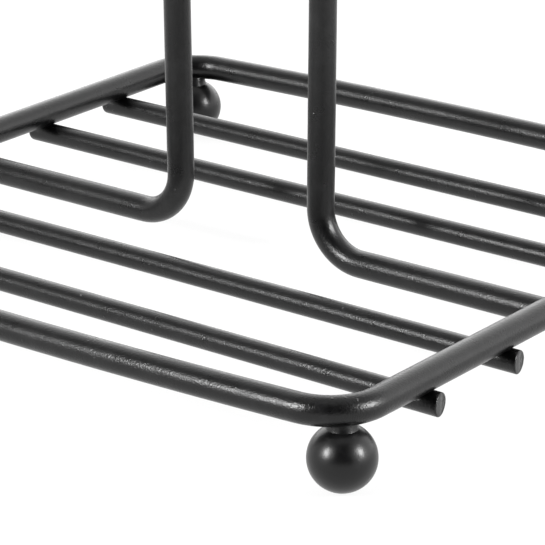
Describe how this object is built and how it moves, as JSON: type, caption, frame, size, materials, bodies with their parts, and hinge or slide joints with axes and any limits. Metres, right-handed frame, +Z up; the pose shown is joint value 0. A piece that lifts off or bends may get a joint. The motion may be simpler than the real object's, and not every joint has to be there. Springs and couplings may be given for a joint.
{
  "type": "plate display stand",
  "caption": "Welded wire plate stand: square ring base with cross rods and ball feet, a narrow arched mast, and a hooked upper tier, for plates on both sides.",
  "frame": {"origin": "on the surface the stand rests on, under the middle of the base", "axes": "+X along the cross rods, +Y from the front to the back, +Z up the mast"},
  "size_m": [0.158, 0.155, 0.3999],
  "materials": {
    "coated_wire": "semi-gloss black powder coat, 0.1 mm, on 5.2 mm steel wire",
    "coated_rod": "semi-gloss black powder coat, 0.1 mm, on 4.2 mm steel wire",
    "coated_ball": "semi-gloss black powder coat, 0.1 mm, on a steel ball",
    "coated_weld": "black powder coat over uneven weld metal"
  },
  "bodies": {
    "root": {"base_ring": "coated_wire", "mast_wire": "coated_wire", "base_ring_butt_weld": "coated_weld", "front_rod_outer": "coated_rod", "front_rod_outer_welds": "coated_weld", "front_rod_inner": "coated_rod", "front_rod_inner_welds": "coated_weld", "back_rod_inner": "coated_rod", "back_rod_inner_welds": "coated_weld", "back_rod_outer": "coated_rod", "back_rod_outer_welds": "coated_weld", "mast_foot_weld_left": "coated_weld", "mast_foot_weld_right": "coated_weld", "foot_front_left": "coated_ball", "foot_weld_front_left": "coated_weld", "foot_front_right": "coated_ball", "foot_weld_front_right": "coated_weld", "foot_back_left": "coated_ball", "foot_weld_back_left": "coated_weld", "foot_back_right": "coated_ball", "foot_weld_back_right": "coated_weld", "tier_arm_left": "coated_rod", "tier_arm_weld_left": "coated_weld", "tier_arm_right": "coated_rod", "tier_arm_weld_right": "coated_weld", "tier_tie_front": "coated_rod", "tier_tie_welds_front": "coated_weld", "tier_tip_front_left": "coated_ball", "tier_tip_front_right": "coated_ball", "tier_tie_back": "coated_rod", "tier_tie_welds_back": "coated_weld", "tier_tip_back_left": "coated_ball", "tier_tip_back_right": "coated_ball"}
  },
  "joints": []
}
